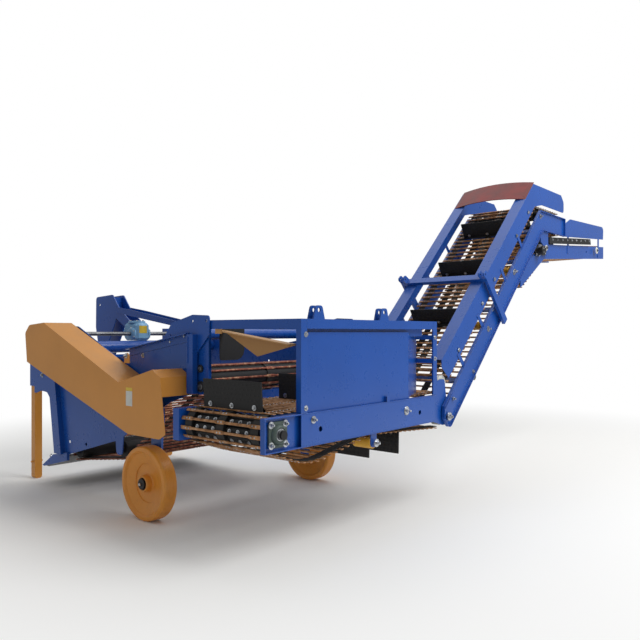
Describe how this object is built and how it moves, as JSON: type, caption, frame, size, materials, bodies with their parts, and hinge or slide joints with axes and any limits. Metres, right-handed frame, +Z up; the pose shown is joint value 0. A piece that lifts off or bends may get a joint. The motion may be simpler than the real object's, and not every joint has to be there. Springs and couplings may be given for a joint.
{
  "type": "peanut harvester",
  "caption": "Tractor-mounted peanut digger with a rod web, a cross conveyor, a hinged side elevator with a discharge head, gauge wheels and stand legs.",
  "frame": {"origin": "middle of the machine's outline on the floor, under the middle of its bounding box", "axes": "+X towards the discharge head at the machine's right, +Y towards the tractor, +Z up"},
  "size_m": [5.613, 3.413, 2.6855],
  "materials": {
    "paint_orange": "satin yellow-orange paint",
    "paint_dark": "satin black paint",
    "cast_grey": "grey-green cast iron",
    "paint_blue": "satin blue enamel",
    "paint_pale": "light blue paint",
    "steel_rods": "bright rolled steel rod",
    "steel_bare": "bare steel",
    "plastic_white": "white nylon",
    "plastic_yellow": "yellow cast nylon",
    "rubber_black": "black rubber",
    "rubber_red": "dark red rubber",
    "sheet_tan": "faded orange sheet"
  },
  "bodies": {
    "machine": {"side_frame_right": "paint_blue", "side_frame_left": "paint_blue", "toolbar": "paint_blue", "headstock": "paint_blue", "hitch_mast": "paint_blue", "mast_braces": "paint_blue", "gearbox": "paint_pale", "drive_shaft": "steel_bare", "chain_guard": "paint_orange", "digging_shovel": "steel_bare", "primary_web": "steel_rods", "web_rollers": "steel_bare", "gauge_arm_right": "paint_blue", "gauge_arm_left": "paint_blue", "box_frame": "paint_blue", "rear_beam": "paint_blue", "front_beam": "paint_blue", "pivot_shaft": "steel_bare", "rear_panel": "paint_blue", "rubber_curtain": "rubber_black", "deflector": "sheet_tan", "cross_belt": "steel_rods", "cross_flights": "rubber_black", "cross_rollers": "steel_bare", "return_rollers": "plastic_yellow", "end_bearings": "cast_grey", "hold_down_wheels": "plastic_white"},
    "elevator": {"elevator_beam_near": "paint_blue", "elevator_beam_far": "paint_blue", "elevator_board_near": "paint_blue", "elevator_board_far": "paint_blue", "portal_frame": "paint_blue", "elevator_ties": "paint_blue", "rubber_hood": "rubber_red", "elevator_idlers": "steel_bare", "elevator_belt": "steel_rods", "elevator_flights": "rubber_black", "elevator_rollers": "steel_bare", "head_frame": "paint_blue", "head_boards": "paint_blue", "head_belt": "steel_rods", "head_rollers": "steel_bare", "head_motor": "paint_dark"},
    "gauge_wheel_left": {"gauge_wheel_left": "paint_orange"},
    "gauge_wheel_right": {"gauge_wheel_right": "paint_orange"},
    "stand_leg_left": {"stand_leg_left": "paint_orange"},
    "stand_leg_right": {"stand_leg_right": "paint_orange"}
  },
  "joints": [
    {"name": "gauge_wheel_left_spin", "type": "hinge", "parent": "machine", "child": "gauge_wheel_left", "pos_m": [-2.6135, -0.3665, 0.25], "axis": [1, 0, 0], "continuous": true},
    {"name": "gauge_wheel_right_spin", "type": "hinge", "parent": "machine", "child": "gauge_wheel_right", "pos_m": [-0.9735, -0.3665, 0.25], "axis": [1, 0, 0], "continuous": true},
    {"name": "elevator_lift", "type": "hinge", "parent": "machine", "child": "elevator", "pos_m": [-0.8935, -1.2915, 0.638], "axis": [0, -1, 0], "range_deg": [-22.5, 5]},
    {"name": "stand_left_slide", "type": "slide", "parent": "machine", "child": "stand_leg_left", "axis": [0, 0, 1], "range_m": [0, 0.478]},
    {"name": "stand_right_slide", "type": "slide", "parent": "machine", "child": "stand_leg_right", "axis": [0, 0, 1], "range_m": [0, 0.478]}
  ]
}
